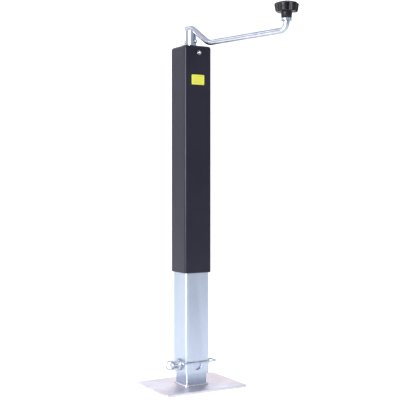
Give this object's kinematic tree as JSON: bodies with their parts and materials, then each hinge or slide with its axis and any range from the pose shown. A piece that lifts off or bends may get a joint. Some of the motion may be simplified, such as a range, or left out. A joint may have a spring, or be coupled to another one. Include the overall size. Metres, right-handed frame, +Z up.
{
  "type": "trailer tongue jack",
  "caption": "Upright square drop-leg trailer jack: black outer tube, zinc inner tube and leg on a flat foot, leg pin with wire bail, and a removable top crank with a star knob.",
  "frame": {"origin": "centre of the foot plate's underside, where the jack stands on the ground", "axes": "+Z up along the lead screw; -Y is the face with the grease fitting and the label; -X is the side of the leg pin's head"},
  "size_m": [0.2004, 0.3261, 0.782],
  "materials": {
    "black_paint": "semi-gloss black powder coat",
    "zinc_plate": "clear blue zinc plating, satin, on cold drawn tube",
    "foot_zinc": "zinc plated hot rolled plate, slightly warm and dull",
    "bright_zinc": "bright zinc plated rod, wire and turned parts",
    "black_plastic": "moulded black plastic with a soft sheen",
    "yellow_label": "plain yellow printed vinyl label with nothing written on it",
    "bare_steel": "machined steel with a film of grease",
    "bronze": "machined bronze",
    "black_rubber": "black rubber washer"
  },
  "bodies": {
    "housing": {"outer_tube": "black_paint", "top_cap": "black_paint", "bearing_plate": "bare_steel", "shaft_bush": "bronze", "upper_race": "bare_steel", "grease_fitting": "bright_zinc", "rating_label": "yellow_label"},
    "screw": {"lead_screw": "bare_steel", "screw_collar": "bare_steel", "collar_pin": "bare_steel", "lower_race": "bare_steel", "stop_washer": "bare_steel", "stop_pin": "bare_steel", "dust_seal": "black_rubber", "crank_socket": "bright_zinc", "crank_rod": "bright_zinc", "knob_ferrule": "bright_zinc", "knob_retainer": "bare_steel"},
    "bearing": {"ball_cage": "bronze", "bearing_ball_1": "bare_steel", "bearing_ball_2": "bare_steel", "bearing_ball_3": "bare_steel", "bearing_ball_4": "bare_steel", "bearing_ball_5": "bare_steel", "bearing_ball_6": "bare_steel", "bearing_ball_7": "bare_steel", "bearing_ball_8": "bare_steel"},
    "crank_pin": {"crank_pin": "bright_zinc"},
    "pin_ring": {"crank_pin_ring": "bright_zinc"},
    "knob": {"knob": "black_plastic", "knob_cap": "black_plastic"},
    "leg": {"inner_tube": "zinc_plate", "nut_plate": "bare_steel", "screw_nut": "bronze", "drop_leg": "zinc_plate", "base_plate": "foot_zinc", "foot_weld_right": "foot_zinc", "foot_weld_back": "foot_zinc", "foot_weld_left": "foot_zinc", "foot_weld_front": "foot_zinc", "leg_pin": "bright_zinc"},
    "bail": {"leg_pin_bail": "bright_zinc"}
  },
  "joints": [
    {"name": "crank_turn", "type": "hinge", "parent": "housing", "child": "screw", "pos_m": [0, 0, 0.72], "axis": [0, 0, 1], "range_deg": [-11880, 9360]},
    {"name": "bearing_roll", "type": "hinge", "parent": "housing", "child": "bearing", "pos_m": [0, 0, 0.6986], "axis": [0, 0, 1], "range_deg": [-5941, 4681]},
    {"name": "leg_travel", "type": "slide", "parent": "housing", "child": "leg", "axis": [0, 0, -1], "range_m": [-0.1651, 0.1301]},
    {"name": "knob_spin", "type": "hinge", "parent": "screw", "child": "knob", "pos_m": [0.08178, -0.23095, 0.76], "axis": [0, 0, 1], "continuous": true},
    {"name": "crank_pin_pull", "type": "slide", "parent": "screw", "child": "crank_pin", "axis": [-0.3338, 0.9426, 0], "range_m": [0, 0.03]},
    {"name": "pin_ring_swing", "type": "hinge", "parent": "crank_pin", "child": "pin_ring", "pos_m": [-0.00598, 0.01687, 0.7297], "axis": [0, 0, 1], "range_deg": [-80, 80]},
    {"name": "bail_swing", "type": "hinge", "parent": "leg", "child": "bail", "pos_m": [-0.04185, 0, 0.048], "axis": [0, 0, -1], "range_deg": [0, 110]}
  ],
  "couplings": [
    {"joint": "bearing_roll", "follows": "crank_turn", "ratio": 0.5},
    {"joint": "leg_travel", "follows": "crank_turn", "m_per_rad": 0.00079577}
  ]
}
